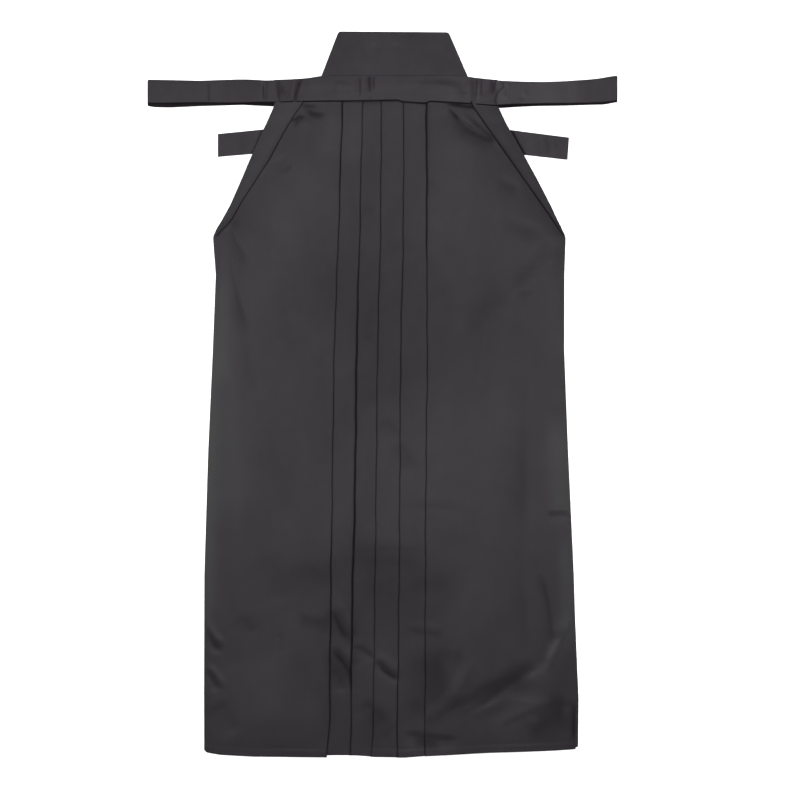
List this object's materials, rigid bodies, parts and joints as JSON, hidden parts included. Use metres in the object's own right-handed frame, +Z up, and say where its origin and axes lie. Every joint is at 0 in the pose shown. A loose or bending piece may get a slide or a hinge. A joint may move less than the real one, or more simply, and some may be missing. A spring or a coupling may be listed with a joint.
{
  "type": "hakama trousers",
  "caption": "Pleated wide-legged hakama trousers laid flat, front side up, with a stiff trapezoid back board, a front waistband and folded ties.",
  "frame": {"origin": "middle of the outline, on the surface that the garment lies on", "axes": "+Y towards the waist and the back board, +Z up out of the front of the garment, +X towards the wearer's left"},
  "size_m": [0.688, 1.063, 0.0166],
  "materials": {
    "cloth": "dark charcoal plain-woven cloth with a faint sheen",
    "tie_cloth": "the same charcoal cloth folded into flat bands",
    "board_cloth": "the same charcoal cloth stretched over a stiff board"
  },
  "bodies": {
    "root": {"back_panel_right": "cloth", "back_panel_left": "cloth", "back_tie_right": "tie_cloth", "back_tie_left": "tie_cloth", "front_panel_right": "cloth", "front_panel_left": "cloth", "side_fold_right": "cloth", "side_fold_left": "cloth", "front_tie_right": "tie_cloth", "front_tie_left": "tie_cloth", "crotch_gusset": "cloth", "back_board": "board_cloth", "front_waistband": "tie_cloth"}
  },
  "joints": []
}
